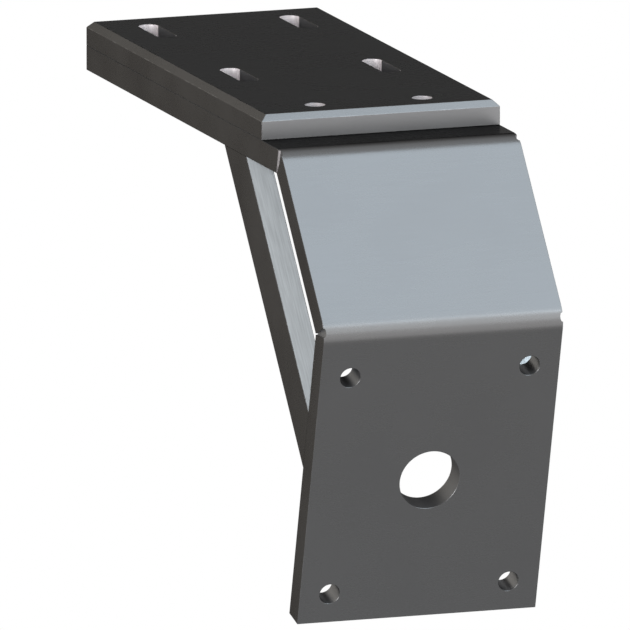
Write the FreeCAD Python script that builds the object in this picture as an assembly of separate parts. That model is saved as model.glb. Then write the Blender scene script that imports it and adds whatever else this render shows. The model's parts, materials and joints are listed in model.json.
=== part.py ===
"""Shallow water anchor mount, a bracket that carries a boat's spud pole anchor aft of the transom.

It is a weldment of half inch aluminium plate with a loose cap plate on top:
  bent_plate    one plate folded twice: deck flange, sloping web, and the anchor plate, which leans 15 degrees
  cap_plate     lies on the deck flange, bevelled round its top, and takes the same deck bolts
  braces        two flat bars on edge, parallel to the web, from the flange down to the anchor plate
  welds         the bead at each end of each brace, round its inboard and forward sides

Frame, in millimetres: +X aft, +Y starboard, +Z up. The origin is on the flange's underside, at the
centre of the four deck bolt slots.
"""

import FreeCAD
import Part
import math
import os

V = FreeCAD.Vector

# Stock and folds
plate_thickness = 12.7       # all plates and bars are cut from half inch plate
bend_inner_radius = 2.0      # press brake radius inside both folds
web_fold_deg = 50.0          # from the flange down to the web
anchor_fold_deg = 55.0       # from the web down to the anchor plate
web_length = 90.7            # flat part of the web, between its two folds
edge_break = 0.25            # deburred corner along the folded plate's and the braces' edges

# Anchor bolt pattern, which sets the anchor plate's width and length
anchor_bolt_across = 95.25
anchor_bolt_down = 120.65
anchor_bolt_diameter = 10.72
anchor_side_margin = 15.875  # bolt centre to the plate's side edge
anchor_foot_margin = 15.875  # lower bolt centres to the plate's foot
anchor_head_margin = 18.4    # upper bolt centres to the start of the fold
hose_hole_diameter = 31.75   # passage for the anchor's hoses or cable, in the middle of the bolts

# Deck bolt slots, which set the cap plate's length
deck_slot_across = 76.2
deck_slot_along = 127.0
deck_slot_width = 10.32
deck_slot_length = 38.1
deck_fore_margin = 38.1      # forward slot centres to the plates' forward end
deck_aft_margin = 107.95     # aft slot centres to the cap plate's aft end

# Cap plate
cap_bevel = 3.175
cap_bolt_diameter = 10.32    # pair of bolts that hold the cap plate's aft end down
cap_bolt_across = 57.15
cap_bolt_margin = 19.05      # bolt centre to the cap plate's aft end
shelf_length = 21.45         # bare top of the flange between the cap plate and the first fold

# Braces and their welds
brace_depth = 25.4           # bar size fore and aft
brace_gap = 35.6             # clear space between the web and the bar
weld_leg = 6.0
weld_outboard_inset = 3.0    # bead starts this far in from the bar's outer side
weld_aft_inset = 9.0         # and ends this far short of the bar's aft face

# Round nicks that mark the fold lines, cut in the plate's two edges while it is still flat
nick_radius = 1.4
neutral_layer = 0.5          # share of the thickness, from the inside, whose length folding keeps

# Sizes that follow
plate_width = anchor_bolt_across + 2 * anchor_side_margin
anchor_length = anchor_foot_margin + anchor_bolt_down + anchor_head_margin
bend_outer_radius = bend_inner_radius + plate_thickness
side = plate_width / 2
flange_fore_x = -deck_slot_along / 2 - deck_fore_margin
cap_aft_x = deck_slot_along / 2 + deck_aft_margin
fold_x = cap_aft_x + shelf_length
cut_margin = 5.0             # how far a cutting tool runs past what it cuts
touching = 1e-6              # distance below which two places are the same


def heading(degrees):
    """Unit vector that points aft and turns down by the given angle."""
    angle = math.radians(degrees)
    return V(math.cos(angle), 0, -math.sin(angle))


def inward(degrees):
    """Unit vector out of the plate's inner face, where the plate runs along that heading."""
    angle = math.radians(degrees)
    return V(-math.sin(angle), 0, -math.cos(angle))


web_heading = web_fold_deg
anchor_heading = web_fold_deg + anchor_fold_deg

# Corners of the folded plate's section, on its inner face, from the forward end round to the foot
fore_end = V(flange_fore_x, 0, 0)
first_centre = V(fold_x, 0, -bend_inner_radius)
web_start = first_centre - inward(web_heading) * bend_inner_radius
web_end = web_start + heading(web_heading) * web_length
second_centre = web_end + inward(web_heading) * bend_inner_radius
anchor_start = second_centre - inward(anchor_heading) * bend_inner_radius
anchor_foot = anchor_start + heading(anchor_heading) * anchor_length


def crossing(point, along, other_point, other_along):
    """Where two lines in the XZ plane cross."""
    gap = other_point - point
    across = along.x * other_along.z - along.z * other_along.x
    return point + along * ((gap.x * other_along.z - gap.z * other_along.x) / across)


def fold_arc(centre, radius, start_heading, end_heading):
    """Arc of a folded face about the fold's axis."""
    middle = (start_heading + end_heading) / 2
    points = [centre - inward(h) * radius for h in (start_heading, middle, end_heading)]
    return Part.Arc(*points).toShape()


def line(start, end):
    """Straight edge."""
    return Part.LineSegment(start, end).toShape()


def extrude_across(edges, low_y, high_y):
    """Solid with that closed outline in the XZ plane, from low_y to high_y."""
    face = Part.Face(Part.Wire(edges))
    face.translate(V(0, low_y, 0))
    return face.extrude(V(0, high_y - low_y, 0))


def folded_blank():
    """The plate's section, folded, with its edges deburred and no holes yet."""
    outer = [p - inward(h) * plate_thickness for p, h in (
        (fore_end, 0), (V(fold_x, 0, 0), 0), (web_start, web_heading), (web_end, web_heading),
        (anchor_start, anchor_heading), (anchor_foot, anchor_heading))]
    edges = [
        line(fore_end, V(fold_x, 0, 0)),
        fold_arc(first_centre, bend_inner_radius, 0, web_heading),
        line(web_start, web_end),
        fold_arc(second_centre, bend_inner_radius, web_heading, anchor_heading),
        line(anchor_start, anchor_foot),
        line(anchor_foot, outer[5]),
        line(outer[5], outer[4]),
        fold_arc(second_centre, bend_outer_radius, web_heading, anchor_heading),
        line(outer[3], outer[2]),
        fold_arc(first_centre, bend_outer_radius, 0, web_heading),
        line(outer[1], outer[0]),
        line(outer[0], fore_end),
    ]
    blank = extrude_across(Part.sortEdges(edges)[0], -side, side)
    ends = [fore_end, outer[0], anchor_foot, outer[5]]
    sharp = [e for e in blank.Edges if is_outline(e) or runs_across(e, ends)]
    return blank.makeChamfer(edge_break, sharp)


def is_outline(edge):
    """True for an edge that lies in a side face, square to the direction across the plate."""
    return edge.BoundBox.YLength < touching


def runs_across(edge, points):
    """True for an edge that runs across the plate through one of those points of its section."""
    middle = edge.BoundBox.Center
    return any((V(middle.x, 0, middle.z) - p).Length < touching for p in points)


def nick(centre, middle_heading, edge_y):
    """Tool for one nick. A round hole in the flat sheet opens outside the fold and closes inside it."""
    half_angle = nick_radius / (bend_inner_radius + neutral_layer * plate_thickness)
    rings = []
    for reach in (bend_inner_radius / 2, bend_outer_radius + cut_margin):
        along = heading(middle_heading) * (reach * math.tan(half_angle))
        out = inward(middle_heading) * -1
        place = centre + out * reach + V(0, edge_y, 0)
        ring = Part.Wire(Part.makeCircle(1.0))
        shape = FreeCAD.Matrix(along.x, 0, out.x, place.x,
                               along.y, nick_radius, out.y, place.y,
                               along.z, 0, out.z, place.z,
                               0, 0, 0, 1)
        rings.append(ring.transformGeometry(shape))
    return Part.makeLoft(rings, True, True)


def slot(x, y):
    """Tool for one deck bolt slot, through the flange and the cap plate."""
    radius = deck_slot_width / 2
    half_run = deck_slot_length / 2 - radius
    low = -cut_margin
    height = 2 * plate_thickness + 2 * cut_margin
    tool = Part.makeBox(2 * half_run, deck_slot_width, height, V(x - half_run, y - radius, low))
    for end in (-half_run, half_run):
        tool = tool.fuse(Part.makeCylinder(radius, height, V(x + end, y, low)))
    return tool.removeSplitter()


def deck_holes():
    """Tools for what runs straight down through both the cap plate and the flange."""
    tools = [slot(sx * deck_slot_along / 2, sy * deck_slot_across / 2)
             for sx in (-1, 1) for sy in (-1, 1)]
    height = 2 * plate_thickness + 2 * cut_margin
    for sy in (-1, 1):
        place = V(cap_aft_x - cap_bolt_margin, sy * cap_bolt_across / 2, -cut_margin)
        tools.append(Part.makeCylinder(cap_bolt_diameter / 2, height, place))
    return tools


def anchor_holes():
    """Tools for the four anchor bolts and the hose hole, square to the anchor plate."""
    up = heading(anchor_heading) * -1
    through = inward(anchor_heading)
    low_row = anchor_foot + up * anchor_foot_margin - through * (plate_thickness + cut_margin)
    depth = plate_thickness + 2 * cut_margin
    tools = []
    for row in (0, anchor_bolt_down):
        for sy in (-1, 1):
            place = low_row + up * row + V(0, sy * anchor_bolt_across / 2, 0)
            tools.append(Part.makeCylinder(anchor_bolt_diameter / 2, depth, place, through))
    middle = low_row + up * (anchor_bolt_down / 2)
    tools.append(Part.makeCylinder(hose_hole_diameter / 2, depth, middle, through))
    return tools


def bent_plate():
    """Deck flange, web and anchor plate, folded from one plate."""
    nicks = [nick(centre, middle, sy * side)
             for centre, middle in ((first_centre, web_heading / 2),
                                    (second_centre, (web_heading + anchor_heading) / 2))
             for sy in (-1, 1)]
    return folded_blank().cut(deck_holes() + anchor_holes() + nicks)


def cap_plate():
    """Loose plate on the flange, bevelled round its top."""
    length = cap_aft_x - flange_fore_x
    blank = Part.makeBox(length, plate_width, plate_thickness, V(flange_fore_x, -side, plate_thickness))
    top = [e for e in blank.Edges if e.BoundBox.ZMin > 2 * plate_thickness - touching]
    return blank.makeChamfer(cap_bevel, top).cut(deck_holes())


# Feet of the port brace: where the lines of its aft and forward faces meet the flange and the anchor plate
brace_aft_line = web_start + inward(web_heading) * brace_gap
brace_fore_line = brace_aft_line + inward(web_heading) * brace_depth
upper_feet = [crossing(p, heading(web_heading), fore_end, heading(0))
              for p in (brace_aft_line, brace_fore_line)]
lower_feet = [crossing(p, heading(web_heading), anchor_start, heading(anchor_heading))
              for p in (brace_aft_line, brace_fore_line)]
brace_inner_y = -side + plate_thickness


def port_brace():
    """Bar on edge, flush with the plate's port side, with both ends cut to seat flat."""
    corners = [upper_feet[0], lower_feet[0], lower_feet[1], upper_feet[1]]
    edges = [line(a, b) for a, b in zip(corners, corners[1:] + corners[:1])]
    bar = extrude_across(edges, -side, brace_inner_y)
    long_edges = [e for e in bar.Edges if is_outline(e) and is_along_web(e)]
    return bar.makeChamfer(edge_break, long_edges)


def is_along_web(edge):
    """True for an edge that runs parallel to the web's slope."""
    run = edge.Vertexes[1].Point - edge.Vertexes[0].Point
    return run.cross(heading(web_heading)).Length < touching


def rectangle(start, end, low_y, high_y):
    """Closed wire whose two sides across the plate pass through start and end."""
    corners = [V(p.x, y, p.z) for p, y in ((start, low_y), (end, low_y), (end, high_y), (start, high_y))]
    return Part.makePolygon(corners + corners[:1])


def port_weld(feet, face_normal, bar_heading):
    """Fillet weld round the bar's inboard and forward sides, where it stands on a face."""
    aft_foot, fore_foot = feet
    along = (fore_foot - aft_foot).normalize()
    rise = bar_heading * (weld_leg / bar_heading.dot(face_normal))
    start = aft_foot + along * weld_aft_inset
    low_y = -side + weld_outboard_inset
    toe = rectangle(start, fore_foot + along * weld_leg, low_y, brace_inner_y + weld_leg)
    root = rectangle(start + rise, fore_foot + rise, low_y, brace_inner_y)
    return Part.makeLoft([toe, root], True, True).cut(port_brace())


def starboard(shape):
    """The same piece on the other side."""
    return shape.mirror(V(0, 0, 0), V(0, 1, 0))


def main():
    upper_weld = port_weld(upper_feet, inward(0), heading(web_heading))
    lower_weld = port_weld(lower_feet, inward(anchor_heading), heading(web_heading) * -1)
    nodes = {
        "bent_plate": bent_plate(),
        "cap_plate": cap_plate(),
        "port_brace": port_brace(),
        "starboard_brace": starboard(port_brace()),
        "port_upper_weld": upper_weld,
        "port_lower_weld": lower_weld,
        "starboard_upper_weld": starboard(upper_weld),
        "starboard_lower_weld": starboard(lower_weld),
    }
    os.makedirs("parts", exist_ok=True)
    for name, shape in nodes.items():
        solids = shape.Solids
        print(f"{name}: {len(solids)} solid, {shape.Volume / 1000:.2f} cm3, valid {shape.isValid()}")
        if len(solids) == 1:
            shape = solids[0]
        shape.exportStep(f"parts/{name}.step")


main()
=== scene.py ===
"""The looks of a shallow water anchor mount: half inch plate, folded and welded, in dark satin anodise.

Lengths are metres in the part's own frame: +X aft, +Y starboard, +Z up, and the origin on the flange's
underside at the centre of the deck slots.
"""

import json
import math

import bmesh
import bpy
from mathutils import Matrix, Vector


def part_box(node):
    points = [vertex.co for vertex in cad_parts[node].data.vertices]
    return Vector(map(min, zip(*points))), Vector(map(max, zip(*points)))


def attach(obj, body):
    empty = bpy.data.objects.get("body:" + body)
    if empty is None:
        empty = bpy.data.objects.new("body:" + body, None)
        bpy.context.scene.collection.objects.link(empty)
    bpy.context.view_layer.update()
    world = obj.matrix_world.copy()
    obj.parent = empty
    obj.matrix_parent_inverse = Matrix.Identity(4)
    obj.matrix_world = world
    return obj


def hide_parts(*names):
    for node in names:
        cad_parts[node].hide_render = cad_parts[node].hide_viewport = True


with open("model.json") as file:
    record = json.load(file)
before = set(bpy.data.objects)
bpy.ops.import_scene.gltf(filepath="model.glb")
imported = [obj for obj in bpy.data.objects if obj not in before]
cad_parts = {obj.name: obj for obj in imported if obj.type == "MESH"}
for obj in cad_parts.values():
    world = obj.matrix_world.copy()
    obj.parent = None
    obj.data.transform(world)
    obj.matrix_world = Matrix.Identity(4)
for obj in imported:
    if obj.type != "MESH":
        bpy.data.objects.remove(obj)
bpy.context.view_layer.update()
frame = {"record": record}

MM = 0.001
ACROSS = Vector((0, 1, 0))
ALIGNED = 0.999              # cosine from which two directions count as one
MERGE_GAP = 0.001 * MM       # points nearer than this become one

# Facets
ROUND_STEPS = 96             # round a hole
FOLD_STEPS = 28              # round a fold
EDGE_STEPS = 3               # across a rounded edge

# Folded plate
WEB_FOLD = 50.0
ANCHOR_FOLD = 55.0
FOLD_RADIUS = 2.0 * MM       # inside both folds
WEB_LENGTH = 90.7 * MM
SHELF_LENGTH = 21.45 * MM    # bare flange between the cap plate and the first fold
PLATE_EDGE = 0.25 * MM       # rounding of the sheared and milled edges
RIM_BREAK = 0.12 * MM        # countersink that deburrs each hole
DRILL_OVERRUN = 4 * RIM_BREAK        # how far a tool stands out past each end of its hole
NICK_RADIUS = 1.4 * MM       # half round nick at each end of each fold line
NICK_BOTTOM = 0.8            # cosine to the across axis from which a nick's wall is its bottom
NEUTRAL_LAYER = 0.5          # depth whose length a fold leaves as it was, as a share of the thickness

# Cap plate
CAP_BEVEL = 3.175 * MM
CAP_EDGE = 0.25 * MM

# Braces
BRACE_DEPTH = 25.4 * MM
BRACE_GAP = 35.6 * MM        # clear space between the web and the bar

# Weld beads
BEAD_LEG = 5.6 * MM
BEAD_OUTER_INSET = 3.4 * MM  # the bead stops this far short of the bar's outer side
BEAD_AFT_INSET = 9.4 * MM    # and this far short of its aft face
BEAD_CROWN = 0.12            # how far the skin's middle stands out, as a share of its way from the root
BEAD_END = 0.25              # size of a bead's very ends, as a share of its full section
RIPPLE_PITCH = 1.5 * MM
RIPPLE_HEIGHT = 0.09         # as a share of the same way
RIPPLE_LAG = 0.9             # how far a ripple's middle trails its ends, in pitches
RIPPLE_STEPS = 5             # sections in each ripple
SKIN_STEPS = 8               # facets from the toe up the bar

# Finishes by a face's index, where 0 is the coating. Both plates share the next five
WORN_EDGE = 1
# Walls of the deck slots: bare, in a pale pink that is painted light, a warm lamp's reflection
PAINTED_LIGHT_BORE = 2
DARK_BORE = 3
# Walls of the cap bolt holes: bare, in a pale tone that is painted light
BOLT_WALL = 4
# Edges in the seam between the plates: a dark glossless finish, which is painted shade
SHADED_SEAM_EDGE = 5
PLATE_FINISHES = 8

# The folded plate's last two
# Sides of the nicks at the first fold: a pale tone that is painted light, where the second fold's nicks
# stay anodised
LIT_NICK_WALL = 6
# The hose hole's wall: rougher, and 1.1 times lighter in tone, which is painted light
HOSE_WALL = 7

# The cap plate's last two
# The cap's aft end: rougher than the coating, and 1.6 times lighter in tone, which is painted light
SAWN_LIT_END = 6
# The cap's top face: a lower glance tone than the coating's, which is painted shade that keeps the top
# dark
TOP_FACE = 7

# A brace's last, after the coating and the worn edge: its two narrow faces, whose pale blue-grey is
# painted light
LIT_BAR_FACE = 2

# Colours and tones
CLOUD_TONES = ((0.0955, 0.0947, 0.0950), (0.1005, 0.0997, 0.1000))   # the coating's dark and light clouds
SCUFFED_METAL = (0.36, 0.36, 0.37)
FACE_GLANCE = 0.231          # the coating's tone when it is seen almost edge on
GLANCE_WARMTH = (1.0, 0.996, 0.991)  # red, green and blue of that tone
GROOVE_TONE = 0.78           # tone of a cutter's marks beside the metal between them

# Stage
FLOOR_DROP = 0.5             # floor below the part's foot
FLOOR_RADIUS = 30.0
FLOOR_FADE = (0.6, 1.5)      # distances between which the floor goes over to plain white
LAMP_AIM = Vector((0.12, 0, -0.03))

# Camera: a very long lens, so that edges stay nearly parallel
LENS = 1600.0                # millimetres, as is the sensor
SENSOR_WIDTH = 36.0
CAMERA_AZIMUTH, CAMERA_ELEVATION = 70.7211, 11.2307
CAMERA_AIM = Vector((0.070826, 0.0, -0.099659))
CAMERA_DISTANCE = 14.19256

mounts = {m["name"]: m for m in frame["record"]["mounts"]}
cap_low, cap_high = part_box("cap_plate")
plate_low, plate_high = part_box("bent_plate")
THICKNESS = cap_high.z - cap_low.z
SIDE = plate_high.y
FOLD_X = cap_high.x + SHELF_LENGTH
ANCHOR_HEADING = WEB_FOLD + ANCHOR_FOLD


def heading(degrees):
    """Unit vector that points aft and turns down by the given angle."""
    angle = math.radians(degrees)
    return Vector((math.cos(angle), 0, -math.sin(angle)))


def inward(degrees):
    """Unit vector out of the plate's inner face, where the plate runs along that heading."""
    return heading(degrees + 90)


def crossing(point, along, other_point, other_along):
    """Where two lines in the XZ plane cross."""
    gap = other_point - point
    across = along.x * other_along.z - along.z * other_along.x
    return point + along * ((gap.x * other_along.z - gap.z * other_along.x) / across)


# The folded plate's inner face, from fold to fold
first_centre = Vector((FOLD_X, 0, -FOLD_RADIUS))
web_start = first_centre - inward(WEB_FOLD) * FOLD_RADIUS
web_end = web_start + heading(WEB_FOLD) * WEB_LENGTH
second_centre = web_end + inward(WEB_FOLD) * FOLD_RADIUS
anchor_start = second_centre - inward(ANCHOR_HEADING) * FOLD_RADIUS
foot_z = plate_low.z + (inward(ANCHOR_HEADING) * THICKNESS).z
anchor_length = (foot_z - anchor_start.z) / heading(ANCHOR_HEADING).z

# Where the lines of the braces' aft and forward faces meet the flange and the anchor plate
brace_lines = [web_start + inward(WEB_FOLD) * reach for reach in (BRACE_GAP, BRACE_GAP + BRACE_DEPTH)]
upper_feet = [crossing(p, heading(WEB_FOLD), Vector(), heading(0)) for p in brace_lines]
lower_feet = [crossing(p, heading(WEB_FOLD), anchor_start, heading(ANCHOR_HEADING)) for p in brace_lines]


def verts_of(geom):
    return [g for g in geom if isinstance(g, bmesh.types.BMVert)]


def faces_of(geom):
    return [g for g in geom if isinstance(g, bmesh.types.BMFace)]


def drop_inner(bm, face):
    """Take away the face that was carried on, where it is left inside the plate."""
    if all(len(e.link_faces) > 2 for e in face.edges):
        bmesh.ops.delete(bm, geom=[face], context="FACES_ONLY")


def push(bm, face, travel):
    """Extrude one end face straight on. Gives back the new end face."""
    made = bmesh.ops.extrude_face_region(bm, geom=[face])["geom"]
    bmesh.ops.translate(bm, verts=verts_of(made), vec=travel)
    drop_inner(bm, face)
    return faces_of(made)[0]


def fold(bm, face, centre, degrees):
    """Carry one end face round a fold. Gives back the new end face."""
    made = bmesh.ops.spin(bm, geom=[face], cent=centre, axis=ACROSS, angle=math.radians(degrees),
                          steps=FOLD_STEPS, use_merge=False, use_duplicate=False)
    drop_inner(bm, face)
    return faces_of(made["geom_last"])[0]


def bevel(bm, edges, size, segments):
    return bmesh.ops.bevel(bm, geom=edges, offset=size, offset_type="OFFSET", affect="EDGES",
                           segments=segments, profile=0.5, material=-1, clamp_overlap=True)["faces"]


def round_edges(bm, edges, size):
    """Rounded edges, worn except in the seam where the cap plate lies on the flange, whose edges take a
    painted shade.
    """
    for face in bevel(bm, edges, size, EDGE_STEPS):
        in_seam = abs(face.calc_center_median().z - cap_low.z) < size
        face.material_index = SHADED_SEAM_EDGE if in_seam else WORN_EDGE


def sharp_edges(bm, degrees=40):
    return [e for e in bm.edges if e.is_manifold and e.calc_face_angle() > math.radians(degrees)]


def is_along(edge, direction):
    run = (edge.verts[1].co - edge.verts[0].co).normalized()
    return abs(run.dot(direction)) > ALIGNED


def ring(bm, radius, matrix, run=0.0):
    """One closed ring of edges across a tool's axis. A run pulls its two halves apart into a slot."""
    half_step = Matrix.Rotation(math.pi / ROUND_STEPS, 4, "Z")
    verts = bmesh.ops.create_circle(bm, cap_ends=False, radius=radius, segments=ROUND_STEPS,
                                    matrix=half_step)["verts"]
    for part in (1, -1):
        half = [v for v in verts if v.co.x * part > 0]
        bmesh.ops.translate(bm, verts=half, vec=(part * run, 0, 0))
    bmesh.ops.transform(bm, matrix=matrix, verts=verts)
    return list(dict.fromkeys(e for v in verts for e in v.link_edges))


def join_rings(bm, rings):
    """Walls between each ring and the next, and a cap on the first and the last.

    Gives back the walls, a list of faces for each pair of rings.
    """
    walls = [bmesh.ops.bridge_loops(bm, edges=a + b)["faces"] for a, b in zip(rings, rings[1:])]
    for end in (rings[0], rings[-1]):
        bmesh.ops.contextual_create(bm, geom=end)
    return walls


def drill(bm, radius, place, lengths, finish, run=0.0):
    """Tool for a hole with a deburred rim at each end, along the place's Z from one length to the other.

    The hole's round walls take the finish with that index, and a slot's straight flanks are anodised.
    """
    low, high = lengths
    mouth = radius + RIM_BREAK + DRILL_OVERRUN
    steps = [(low - DRILL_OVERRUN, mouth), (low + RIM_BREAK, radius),
             (high - RIM_BREAK, radius), (high + DRILL_OVERRUN, mouth)]
    walls = join_rings(bm, [ring(bm, r, place @ Matrix.Translation((0, 0, z)), run) for z, r in steps])
    facet = 2 * radius * math.sin(math.pi / ROUND_STEPS)
    for face in walls[1]:
        is_round = min(e.calc_length() for e in face.edges) < 2 * facet
        face.material_index = finish if is_round else DARK_BORE


def nick(bm, centre, middle, edge_y, finish):
    """Tool for a nick: a round hole in the flat sheet, opened outside the fold and closed inside it.

    It starts inside the fold's radius and ends past the plate. Its two sides take the finish with that
    index, and its bottom is anodised.
    """
    out = -inward(middle)
    spread = math.tan(NICK_RADIUS / (FOLD_RADIUS + NEUTRAL_LAYER * THICKNESS))
    rings = []
    for reach in (FOLD_RADIUS / 2, FOLD_RADIUS + THICKNESS * 1.5):
        along = heading(middle) * (spread * reach)
        place = centre + out * reach + ACROSS * edge_y
        matrix = Matrix((along, ACROSS * NICK_RADIUS, out)).transposed().to_4x4()
        rings.append(ring(bm, 1.0, Matrix.Translation(place) @ matrix))
    walls = join_rings(bm, rings)[0]
    for face in walls:
        face.normal_update()
        face.material_index = DARK_BORE if abs(face.normal.y) > NICK_BOTTOM else finish
    bmesh.ops.triangulate(bm, faces=walls)


def deck_drills(bm, low, high):
    """Tools for the deck slots and the cap bolts, from the interfaces that the record gives."""
    slots, bolts = mounts["deck_slots"]["dims"], mounts["cap_bolts"]["dims"]
    radius = slots["hole_r_mm"] * MM
    run = slots["slot_length_mm"] * MM / 2 - radius
    for sx in (-0.5, 0.5):
        for sy in (-0.5, 0.5):
            centre = Vector((sx * slots["spacing_x_mm"] * MM, sy * slots["spacing_y_mm"] * MM, 0))
            # The slots' round ends take a pale pink, which is painted light
            drill(bm, radius, Matrix.Translation(centre), (low, high), PAINTED_LIGHT_BORE, run)
    for sy in (-0.5, 0.5):
        centre = Vector((mounts["cap_bolts"]["pos_m"][0], sy * bolts["spacing_y_mm"] * MM, 0))
        # The bolt holes' walls take a pale tone, which is painted light
        drill(bm, bolts["hole_r_mm"] * MM, Matrix.Translation(centre), (low, high), BOLT_WALL)


def anchor_drills(bm):
    """Tools for the anchor bolts and the hose hole."""
    for mount in mounts.values():
        if mount["kind"] == "bore":
            turn = Vector(mount["axis"]).to_track_quat("Z", "Y").to_matrix().to_4x4()
            half = mount["dims"]["length_mm"] * MM / 2
            place = Matrix.Translation(mount["pos_m"]) @ turn
            finish = HOSE_WALL if mount["name"] == "hose_hole" else DARK_BORE
            drill(bm, mount["dims"]["r_mm"] * MM, place, (-half, half), finish)


def object_from(bm, name):
    """Finished bmesh to an object at the origin."""
    bmesh.ops.recalc_face_normals(bm, faces=bm.faces)
    mesh = bpy.data.meshes.new(name)
    bm.to_mesh(mesh)
    bm.free()
    piece = bpy.data.objects.new(name, mesh)
    bpy.context.scene.collection.objects.link(piece)
    return piece


def cut(blank, tools):
    """The blank with every tool's shape taken out of it. Cut faces keep their tool's finish."""
    for piece in (blank, tools):
        for _ in range(PLATE_FINISHES):
            piece.data.materials.append(None)
    drill_through = blank.modifiers.new("holes", "BOOLEAN")
    drill_through.operation = "DIFFERENCE"
    drill_through.solver = "EXACT"
    drill_through.material_mode = "INDEX"
    drill_through.object = tools
    bpy.context.view_layer.update()
    done = bpy.data.meshes.new_from_object(blank.evaluated_get(bpy.context.evaluated_depsgraph_get()))
    blank.modifiers.clear()
    blank.data = done
    bpy.data.objects.remove(tools)
    return blank


def smooth(piece, degrees=35):
    """Smooth rounded edges and folds between flat faces."""
    piece.data.shade_smooth()
    piece.data.set_sharp_from_angle(angle=math.radians(degrees))
    even = piece.modifiers.new("even_shading", "WEIGHTED_NORMAL")
    even.mode = "FACE_AREA"
    even.weight = 90
    even.keep_sharp = True


def put_on(piece, node, slot, *finishes):
    """The piece stands for its node and takes its finishes, in the order of its faces' indices."""
    indices = [f.material_index for f in piece.data.polygons]
    piece.data.materials.clear()
    for material in finishes:
        piece.data.materials.append(material)
    piece.data.polygons.foreach_set("material_index", indices)
    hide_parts(node)
    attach(piece, "root")


def folded_plate():
    """Deck flange, web and anchor plate, drawn out of the forward end's face."""
    bm = bmesh.new()
    corners = [bm.verts.new((plate_low.x, y, z)) for y, z in
               ((-SIDE, 0), (SIDE, 0), (SIDE, THICKNESS), (-SIDE, THICKNESS))]
    end = bm.faces.new(corners)
    end = push(bm, end, (FOLD_X - plate_low.x, 0, 0))
    end = fold(bm, end, first_centre, WEB_FOLD)
    end = push(bm, end, heading(WEB_FOLD) * WEB_LENGTH)
    end = fold(bm, end, second_centre, ANCHOR_FOLD)
    push(bm, end, heading(ANCHOR_HEADING) * anchor_length)
    bmesh.ops.recalc_face_normals(bm, faces=bm.faces)
    round_edges(bm, sharp_edges(bm), PLATE_EDGE)
    blank = object_from(bm, "folded_plate")

    bm = bmesh.new()
    deck_drills(bm, 0.0, THICKNESS)
    for sy in (-1, 1):
        # The first fold's nicks are painted light; the second fold's stay dark
        nick(bm, first_centre, WEB_FOLD / 2, sy * SIDE, LIT_NICK_WALL)
        nick(bm, second_centre, (WEB_FOLD + ANCHOR_HEADING) / 2, sy * SIDE, DARK_BORE)
    anchor_drills(bm)
    piece = cut(blank, object_from(bm, "plate_tools"))
    smooth(piece)
    return piece


def cap():
    """Loose plate on the flange, bevelled round its top."""
    bm = bmesh.new()
    middle = (cap_low + cap_high) / 2
    size = cap_high - cap_low
    bmesh.ops.create_cube(bm, size=1.0, matrix=Matrix.Translation(middle) @ Matrix.Diagonal((*size, 1)))
    top = [e for e in bm.edges if all(v.co.z > middle.z for v in e.verts)]
    bevel(bm, top, CAP_BEVEL, segments=1)
    for face in bm.faces:
        face.normal_update()
        # The aft end is rougher and lighter in tone; the lighter tone is painted light
        if face.normal.x > ALIGNED:
            face.material_index = SAWN_LIT_END
        # The top face glances darker than the rest, which is painted shade
        elif face.normal.z > ALIGNED:
            face.material_index = TOP_FACE
    round_edges(bm, sharp_edges(bm), CAP_EDGE)
    blank = object_from(bm, "bevelled_cap_plate")

    bm = bmesh.new()
    deck_drills(bm, cap_low.z, cap_high.z)
    piece = cut(blank, object_from(bm, "cap_tools"))
    smooth(piece)
    return piece


def brace(name, sign):
    """Flat bar on edge between the flange and the anchor plate, its two narrow faces a pale blue-grey
    that is painted light: the lit slope's tone, which the web shades off the aft face.
    """
    bm = bmesh.new()
    outline = [upper_feet[0], lower_feet[0], lower_feet[1], upper_feet[1]]
    inner = SIDE - THICKNESS
    side = bm.faces.new([bm.verts.new(p + ACROSS * (sign * inner)) for p in outline])
    push(bm, side, ACROSS * (sign * THICKNESS))
    bmesh.ops.recalc_face_normals(bm, faces=bm.faces)
    long_edges = [e for e in bm.edges if is_along(e, heading(WEB_FOLD))]
    round_edges(bm, long_edges, PLATE_EDGE)
    for face in bm.faces:
        # The narrow faces take a pale blue-grey, which is painted light
        if abs(face.normal.dot(inward(WEB_FOLD))) > ALIGNED:
            face.material_index = LIT_BAR_FACE
    piece = object_from(bm, name)
    smooth(piece)
    return piece


def weld(name, feet, normal, run, sign):
    """Rippled fillet bead round a bar's inboard and forward sides, where its foot stands on a face.

    Normal is that face's, and run points along the bar, away from it.
    """
    aft_foot, fore_foot = feet
    forward = (fore_foot - aft_foot).normalized()
    inboard = ACROSS * -sign
    rise = run * (BEAD_LEG / run.dot(normal))
    corner = fore_foot + ACROSS * (sign * (SIDE - THICKNESS))

    # Along the inboard side, round the corner on half the leg, and along the forward side
    first_run = (fore_foot - aft_foot).length - BEAD_AFT_INSET
    turn = BEAD_LEG / 2 * math.pi / 2
    second_run = THICKNESS - BEAD_OUTER_INSET
    length = first_run + turn + second_run
    count = round(length / RIPPLE_PITCH) * RIPPLE_STEPS
    bm = bmesh.new()
    rings = []
    for i in range(count + 1):
        s = length * i / count
        if s < first_run:
            place, out = corner - forward * (first_run - s), inboard
        elif s < first_run + turn:
            swing = (s - first_run) / turn * math.pi / 2
            place, out = corner, inboard * math.cos(swing) + forward * math.sin(swing)
        else:
            place, out = corner - inboard * (s - first_run - turn), forward
        rings.append(bead_section(bm, place, out * BEAD_LEG, rise, s, min(s, length - s)))
    join_rings(bm, rings)
    bmesh.ops.remove_doubles(bm, verts=bm.verts, dist=MERGE_GAP)
    piece = object_from(bm, name)
    smooth(piece, degrees=60)
    return piece


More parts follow.
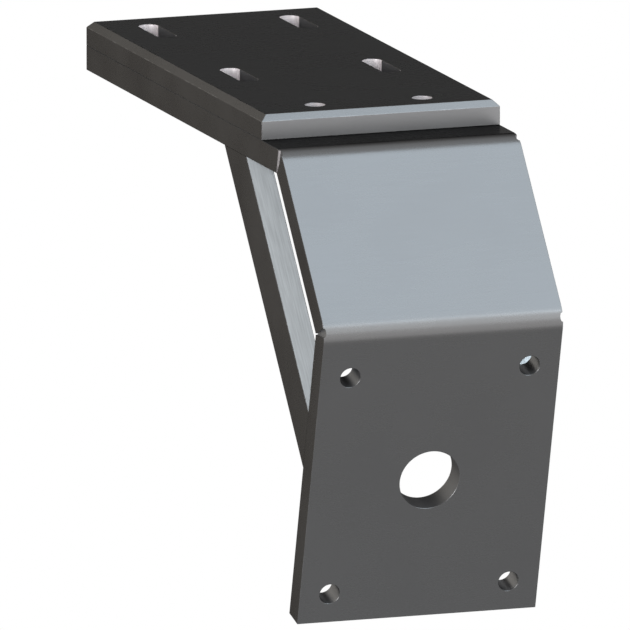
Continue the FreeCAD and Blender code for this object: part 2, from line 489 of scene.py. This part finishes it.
def bead_section(bm, place, out, rise, travel, to_end):
    """One section of a bead: its root, and a crowned skin from the toe up the bar, ripple and all."""
    swell = math.sqrt(1 - (1 - min(to_end / BEAD_LEG, 1)) ** 2)
    taper = BEAD_END + (1 - BEAD_END) * swell
    verts = [bm.verts.new(place)]
    for j in range(SKIN_STEPS + 1):
        u = j / SKIN_STEPS
        arch = 4 * u * (1 - u)
        ripple = abs(math.sin(math.pi * (travel / RIPPLE_PITCH - RIPPLE_LAG * arch)))
        crown = 1 + arch * (BEAD_CROWN + RIPPLE_HEIGHT * ripple)
        verts.append(bm.verts.new(place + (out * (1 - u) + rise * u) * (taper * crown)))
    return [bm.edges.new((a, b)) for a, b in zip(verts, verts[1:] + verts[:1])]


def braces_and_beads(coated, worn, lit_faces, bead):
    """Both braces, with the bead at each of their feet."""
    for hand, sign in (("port", -1), ("starboard", 1)):
        put_on(brace(f"{hand}_bar", sign), f"{hand}_brace", "coated_plate", coated, worn, lit_faces)
        for end, feet, normal, run in (("upper", upper_feet, inward(0), heading(WEB_FOLD)),
                                       ("lower", lower_feet, inward(ANCHOR_HEADING), -heading(WEB_FOLD))):
            foot_bead = weld(f"{hand}_{end}_bead", feet, normal, run, sign)
            put_on(foot_bead, f"{hand}_{end}_weld", "weld_bead", bead)


def combined(tree, operation, first, second):
    """Two nodes' values, combined by that operation."""
    step = tree.nodes.new("ShaderNodeMath")
    step.operation = operation
    tree.links.new(first, step.inputs[0])
    tree.links.new(second, step.inputs[1])
    return step.outputs["Value"]


class Finish:
    """One material and the few nodes that its finish is mixed from. Patterns read Object coordinates."""

    def __init__(self, name, metallic):
        self.material = bpy.data.materials.new(name)
        self.material.use_nodes = True
        self.tree = self.material.node_tree
        self.shader = self.tree.nodes["Principled BSDF"]
        self.shader.inputs["Metallic"].default_value = metallic
        self.place = self.tree.nodes.new("ShaderNodeTexCoord").outputs["Object"]

    def link(self, source, target):
        self.tree.links.new(source, target)

    def noise(self, grains_per_metre, detail, turn=0.0):
        """Noise with that many grains along each axis, in axes turned about the across axis."""
        axes = self.tree.nodes.new("ShaderNodeMapping")
        axes.vector_type = "TEXTURE"
        axes.inputs["Rotation"].default_value = (0, math.radians(turn), 0)
        axes.inputs["Scale"].default_value = [1 / g for g in grains_per_metre]
        self.link(self.place, axes.inputs["Vector"])
        grain = self.tree.nodes.new("ShaderNodeTexNoise")
        grain.inputs["Scale"].default_value = 1.0
        grain.inputs["Detail"].default_value = detail
        self.link(axes.outputs["Vector"], grain.inputs["Vector"])
        return grain.outputs["Fac"]

    def spread(self, source, low=0.0, high=1.0, source_low=0.3, source_high=0.7):
        """The source's range, a noise's usual one unless given, carried over to a range of values."""
        scale = self.tree.nodes.new("ShaderNodeMapRange")
        for socket, value in (("From Min", source_low), ("From Max", source_high),
                              ("To Min", low), ("To Max", high)):
            scale.inputs[socket].default_value = value
        self.link(source, scale.inputs["Value"])
        return scale.outputs["Result"]

    def blend(self, amount, first, second):
        """Colour that goes from the first to the second by an amount. Either may be another node's."""
        mix = self.tree.nodes.new("ShaderNodeMixRGB")
        self.link(amount, mix.inputs["Fac"])
        for socket, colour in (("Color1", first), ("Color2", second)):
            if isinstance(colour, bpy.types.NodeSocket):
                self.link(colour, mix.inputs[socket])
            else:
                mix.inputs[socket].default_value = (*colour, 1)
        return mix.outputs["Color"]

    def colour(self, source):
        self.link(source, self.shader.inputs["Base Color"])

    def roughness(self, source):
        self.link(source, self.shader.inputs["Roughness"])

    def glance(self, colour):
        """Colour that a metal goes to when it is seen almost edge on."""
        self.shader.inputs["Specular Tint"].default_value = (*colour, 1)

    def relief(self, height, depth):
        bump = self.tree.nodes.new("ShaderNodeBump")
        bump.inputs["Distance"].default_value = depth
        self.link(height, bump.inputs["Height"])
        self.link(bump.outputs["Normal"], self.shader.inputs["Normal"])


def dark_satin_anodise(name, wear=0.0, dullness=0.25, shade=1.0, glance=FACE_GLANCE):
    """Dark hard anodise over blasted plate: fine tooth, grain across the plate and faint clouds.

    Wear is the share of the aluminium under it that shows through where it is scuffed, dullness the
    least roughness, shade its tone beside the rolled faces, which above 1 is painted light, and glance
    its tone seen almost edge on, which below the usual is painted shade.
    """
    finish = Finish(name, metallic=1.0)
    cloud = finish.noise((24, 24, 24), detail=5)
    grain = finish.noise((1100, 45, 1100), detail=4)
    tooth = finish.noise((2400, 2400, 2400), detail=2)
    patches = finish.noise((160, 160, 160), detail=6)
    scuffs = finish.spread(patches, 0.0, wear, source_low=0.48, source_high=0.62)
    # A shade above 1 lifts both cloud tones, which is painted light
    dark, light = ([shade * c for c in tone] for tone in CLOUD_TONES)
    finish.colour(finish.blend(scuffs, finish.blend(cloud, dark, light), SCUFFED_METAL))
    cloud_roughness = finish.spread(cloud, dullness, dullness + 0.05)
    grain_roughness = finish.spread(grain, -0.015, 0.015)
    finish.roughness(combined(finish.tree, "ADD", cloud_roughness, grain_roughness))
    finish.relief(tooth, depth=0.002 * MM)
    finish.glance([glance * w for w in GLANCE_WARMTH])
    return finish.material


def bare_cut_painted_light(name, metallic, colour, lay, turn=0.0):
    """Bare aluminium where a cutter went through the coating, in a pale colour that is painted light: it
    stands in for the lamps' reflections that the walls around it shade off.

    Lay is how many of the cutter's marks a metre has along each axis, and turn turns these axes about the
    across axis.
    """
    finish = Finish(name, metallic)
    lines = finish.noise(lay, detail=3, turn=turn)
    cloud = finish.noise((180, 180, 180), detail=4)
    groove = [c * GROOVE_TONE for c in colour]
    # The pale colour is painted light; the darker grooves are the cutter's marks
    finish.colour(finish.blend(finish.spread(lines), groove, colour))
    finish.roughness(finish.spread(cloud, 0.40, 0.52))
    finish.relief(lines, depth=0.012 * MM)
    return finish.material


def anodised_bore():
    """Drilled wall under the anodise: a shade lighter than the plate, with the drill's rings."""
    finish = Finish("anodised_bore_walls", metallic=0.8)
    rings = finish.noise((1500, 150, 150), detail=3, turn=ANCHOR_HEADING - 90)
    finish.colour(finish.blend(finish.spread(rings), (0.10, 0.10, 0.102), (0.115, 0.115, 0.117)))
    finish.roughness(finish.spread(rings, 0.36, 0.44))
    finish.relief(rings, depth=0.008 * MM)
    finish.glance([FACE_GLANCE * w for w in GLANCE_WARMTH])
    return finish.material


def seam_edge():
    """Dark, glossless edge in the seam between the two plates: painted shade standing in for the groove's
    shadow, mottled a little.
    """
    finish = Finish("painted_shade_seam_edge", metallic=0.0)
    mottle = finish.noise((400, 400, 400), detail=4)
    finish.colour(finish.blend(mottle, (0.024, 0.024, 0.024), (0.040, 0.039, 0.038)))
    finish.roughness(finish.spread(mottle, 0.7, 0.85))
    finish.relief(mottle, depth=0.01 * MM)
    finish.shader.inputs["Specular IOR Level"].default_value = 0.0
    return finish.material


def anodised_weld():
    """Filler metal takes the anodise a shade lighter and less evenly than the plate."""
    finish = Finish("anodised_weld", metallic=1.0)
    cloud = finish.noise((260, 260, 260), detail=5)
    tooth = finish.noise((3000, 3000, 3000), detail=2)
    finish.colour(finish.blend(finish.spread(cloud), (0.11, 0.108, 0.106), (0.17, 0.165, 0.16)))
    finish.roughness(finish.spread(cloud, 0.34, 0.46))
    finish.relief(tooth, depth=0.01 * MM)
    finish.glance((0.4, 0.38, 0.37))
    return finish.material


def white_to_lens(tree, lit, white_kind, output, share=None):
    """White where the lens, a gloss or a glass sees it, and lit as usual for the rest.

    A share, from another node, says how much of it goes white.
    """
    nodes, links = tree.nodes, tree.links
    path = nodes.new("ShaderNodeLightPath")
    seen = path.outputs["Is Camera Ray"]
    for ray in ("Is Glossy Ray", "Is Transmission Ray"):
        seen = combined(tree, "MAXIMUM", seen, path.outputs[ray])
    if share:
        seen = combined(tree, "MULTIPLY", seen, share)
    white = nodes.new(white_kind)
    white.inputs["Color"].default_value = (1, 1, 1, 1)
    white.inputs["Strength"].default_value = 1.0
    mix = nodes.new("ShaderNodeMixShader")
    links.new(seen, mix.inputs["Fac"])
    links.new(lit, mix.inputs[1])
    links.new(white.outputs[0], mix.inputs[2])
    links.new(mix.outputs["Shader"], nodes[output].inputs["Surface"])


def pale_floor():
    """Pale floor well below the part, which goes over to plain white further out."""
    bm = bmesh.new()
    bmesh.ops.create_circle(bm, cap_ends=True, segments=ROUND_STEPS, radius=FLOOR_RADIUS,
                            matrix=Matrix.Translation((0, 0, plate_low.z - FLOOR_DROP)))
    floor = object_from(bm, "floor")
    pale = Finish("pale_floor", metallic=0.0)
    grit = pale.noise((60, 60, 60), detail=4)
    pale.colour(pale.blend(grit, (0.72, 0.72, 0.72), (0.74, 0.74, 0.74)))
    pale.shader.inputs["Roughness"].default_value = 0.9
    pale.shader.inputs["Specular IOR Level"].default_value = 0.1
    from_middle = pale.tree.nodes.new("ShaderNodeVectorMath")
    from_middle.operation = "LENGTH"
    pale.link(pale.place, from_middle.inputs[0])
    near, far = FLOOR_FADE
    fade = pale.spread(from_middle.outputs["Value"], source_low=near, source_high=far)
    white_to_lens(pale.tree, pale.shader.outputs["BSDF"], "ShaderNodeEmission", "Material Output", fade)
    floor.data.materials.append(pale.material)


def surround():
    """Plain world light, which the lens sees as white."""
    world = bpy.data.worlds.new("surround")
    bpy.context.scene.world = world
    world.use_nodes = True
    dim = world.node_tree.nodes["Background"]
    dim.inputs["Color"].default_value = (1.0, 0.98, 0.96, 1)
    dim.inputs["Strength"].default_value = 0.3
    white_to_lens(world.node_tree, dim.outputs["Background"], "ShaderNodeBackground", "World Output")


def toward(azimuth, elevation):
    """Unit vector from the part towards that side. Azimuth 0 is port (-Y) and 90 is aft (+X)."""
    a, e = math.radians(azimuth), math.radians(elevation)
    return Vector((math.sin(a) * math.cos(e), -math.cos(a) * math.cos(e), math.sin(e)))


def hang(name, data, aim, azimuth, elevation, distance):
    """Object for a lamp or a camera, that far from its aim on that side and turned to it."""
    holder = bpy.data.objects.new(name, data)
    bpy.context.scene.collection.objects.link(holder)
    back = toward(azimuth, elevation)
    holder.location = aim + back * distance
    holder.rotation_mode = "QUATERNION"
    holder.rotation_quaternion = back.to_track_quat("Z", "Y")
    return holder


def soft_lamp(name, azimuth, elevation, distance, size, radiance, colour):
    """Rectangular soft lamp of a given brightness to look at, aimed at the part."""
    lamp = bpy.data.lights.new(name, "AREA")
    lamp.shape = "RECTANGLE"
    lamp.size, lamp.size_y = size
    lamp.color = colour
    lamp.energy = radiance * math.pi * size[0] * size[1]
    hang(name, lamp, LAMP_AIM, azimuth, elevation, distance).visible_camera = False


def soft_lamps():
    """Six lamps round the part, the brightest to port."""
    soft_lamp("overhead", azimuth=128, elevation=52, distance=1.4, size=(1.15, 1.19), radiance=4.0,
              colour=(0.76, 0.89, 1.0))
    soft_lamp("zenith", azimuth=215, elevation=68, distance=1.4, size=(0.75, 0.75), radiance=0.6,
              colour=(0.85, 0.93, 1.0))
    soft_lamp("front", azimuth=112, elevation=20, distance=1.6, size=(1.0, 0.84), radiance=2.8,
              colour=(0.93, 0.97, 1.0))
    soft_lamp("low_front", azimuth=110, elevation=-7, distance=1.6, size=(0.9, 0.74), radiance=1.35,
              colour=(1.0, 0.99, 1.0))
    soft_lamp("port", azimuth=30, elevation=14, distance=1.4, size=(0.7, 1.0), radiance=11.0,
              colour=(0.97, 0.97, 1.0))
    soft_lamp("fore", azimuth=297, elevation=9, distance=1.6, size=(1.1, 1.9), radiance=1.9,
              colour=(1.0, 0.94, 0.82))


def camera():
    data = bpy.data.cameras.new("camera")
    data.lens = LENS
    data.sensor_width = SENSOR_WIDTH
    data.clip_start, data.clip_end = 1.0, 100.0
    bpy.context.scene.camera = hang("camera", data, CAMERA_AIM, CAMERA_AZIMUTH, CAMERA_ELEVATION,
                                    CAMERA_DISTANCE)


coated = dark_satin_anodise("dark_satin_anodise")
worn = dark_satin_anodise("worn_anodise_edge", wear=0.08)
# Painted light: the cap's aft end is 1.6 times lighter, and rougher
sawn = dark_satin_anodise("sawn_end_painted_light_anodise", dullness=0.40, shade=1.6)
# Painted shade: the cap's top glances darker than the other faces
cap_top = dark_satin_anodise("cap_top_painted_shade_anodise", glance=0.200)
# Painted light: the hose hole's wall is 1.1 times lighter, and rougher
hose_wall = dark_satin_anodise("reamed_hose_hole_wall_painted_light", dullness=0.50, shade=1.1)
# Painted light: pale pink slot walls stand in for a warm lamp's reflection
bright_bores = bare_cut_painted_light("milled_slot_walls_painted_light", metallic=0.6, colour=(0.77, 0.715, 0.715),
                        lay=(90, 90, 1800))
dark_bores = anodised_bore()
# Painted light: pale bolt hole walls
bolt_walls = bare_cut_painted_light("drilled_bolt_walls_painted_light", metallic=0.3, colour=(0.49, 0.46, 0.46),
                      lay=(150, 150, 1500))
# Painted shade for the seam between the plates
seam = seam_edge()
# Painted light: pale sides for the first fold's nicks
nick_walls = bare_cut_painted_light("punched_nick_walls_painted_light", metallic=0.15, colour=(0.29, 0.272, 0.27),
                      lay=(60, 1300, 1300))
# Painted light: the braces' narrow faces in the lit slope's pale blue-grey
bar_edges = bare_cut_painted_light("painted_light_bar_faces", metallic=0.15, colour=(0.63, 0.675, 0.69),
                     lay=(60, 1300, 1300), turn=WEB_FOLD)
on_both = [coated, worn, bright_bores, dark_bores, bolt_walls, seam]
put_on(folded_plate(), "bent_plate", "coated_plate", *on_both, nick_walls, hose_wall)
put_on(cap(), "cap_plate", "coated_plate", *on_both, sawn, cap_top)
braces_and_beads(coated, worn, bar_edges, anodised_weld())
pale_floor()
surround()
soft_lamps()
camera()
bpy.context.scene.view_settings.view_transform = "Standard"
